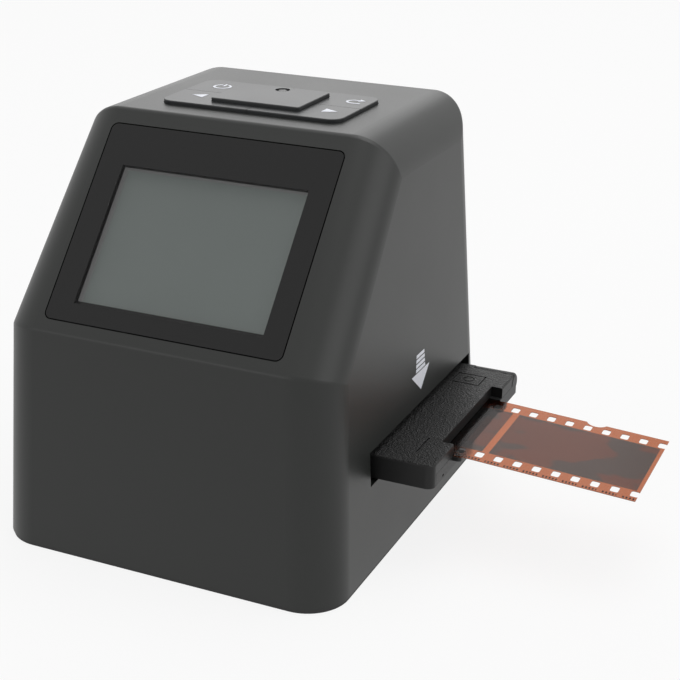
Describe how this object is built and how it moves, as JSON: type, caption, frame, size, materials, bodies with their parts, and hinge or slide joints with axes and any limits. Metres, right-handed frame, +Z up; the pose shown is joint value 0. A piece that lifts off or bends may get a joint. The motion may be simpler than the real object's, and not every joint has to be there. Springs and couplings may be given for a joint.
{
  "type": "film negative scanner",
  "caption": "Desktop scanner for 35 mm film: a sloped casing with a small screen and top keys, and a hinged film holder that slides through a slot low in its sides.",
  "frame": {"origin": "on the surface that the scanner stands on, under the centre of the casing's base", "axes": "+X to the right seen from the front and along the film, +Y from front to back, +Z up"},
  "size_m": [0.1519, 0.1052, 0.1038],
  "materials": {
    "case_plastic": "fine satin texture",
    "cover_plastic": "matte",
    "holder_plastic": "coarse leather-like grain",
    "inner_plastic": "matte black",
    "white_plastic": "matte white",
    "rubber": "matte",
    "key_plastic": "satin",
    "window_clear": "clear, glossy",
    "mask_print": "printed black",
    "display": "unlit display, semi-gloss",
    "steel": "plain",
    "spring_steel": "bright",
    "board_green": "soldermask green",
    "chip_black": "matte",
    "led_white": "translucent",
    "lens": "coated optical glass",
    "diffuser": "opal acrylic",
    "pipe_clear": "frosted",
    "film": "developed colour negative film, translucent orange base"
  },
  "bodies": {
    "scanner": {"main_case": "case_plastic", "base_cover": "cover_plastic", "rubber_feet": "rubber", "case_screws": "steel", "small_screws": "steel", "screen_window": "window_clear", "window_mask": "mask_print", "display_panel": "display", "display_frame": "inner_plastic", "lcd_bracket": "inner_plastic", "key_board": "board_green", "tact_switches": "chip_black", "status_led": "led_white", "light_pipe": "pipe_clear", "main_board": "board_green", "processor_chip": "chip_black", "usb_socket": "steel", "card_socket": "steel", "slot_guide": "inner_plastic", "detent_spring": "spring_steel", "optics_tower": "inner_plastic", "lens_tube": "inner_plastic", "lens_glass": "lens", "sensor_board": "board_green", "image_sensor": "chip_black", "backlight_board": "board_green", "backlight_leds": "led_white", "light_box": "white_plastic", "diffuser_plate": "diffuser"},
    "film_holder": {"holder_base": "holder_plastic", "holder_lid": "holder_plastic", "hinge_pins": "steel"},
    "film": {"film_strip": "film"},
    "ok_key": {"ok_key": "key_plastic"},
    "power_key": {"power_key": "key_plastic"},
    "mode_key": {"mode_key": "key_plastic"},
    "left_key": {"left_key": "key_plastic"},
    "right_key": {"right_key": "key_plastic"}
  },
  "joints": [
    {"name": "holder_slide", "type": "slide", "parent": "scanner", "child": "film_holder", "axis": [1, 0, 0], "range_m": [-0.012, 0.095]},
    {"name": "film_slide", "type": "slide", "parent": "film_holder", "child": "film", "axis": [1, 0, 0], "range_m": [-0.044, 0.1]},
    {"name": "ok_press", "type": "slide", "parent": "scanner", "child": "ok_key", "axis": [0, 0, -1], "range_m": [0, 0.0004], "stiffness_N_per_m": 3000},
    {"name": "power_press", "type": "slide", "parent": "scanner", "child": "power_key", "axis": [0, 0, -1], "range_m": [0, 0.0004], "stiffness_N_per_m": 3000},
    {"name": "mode_press", "type": "slide", "parent": "scanner", "child": "mode_key", "axis": [0, 0, -1], "range_m": [0, 0.0004], "stiffness_N_per_m": 3000},
    {"name": "left_press", "type": "slide", "parent": "scanner", "child": "left_key", "axis": [0, 0, -1], "range_m": [0, 0.0004], "stiffness_N_per_m": 3000},
    {"name": "right_press", "type": "slide", "parent": "scanner", "child": "right_key", "axis": [0, 0, -1], "range_m": [0, 0.0004], "stiffness_N_per_m": 3000}
  ]
}
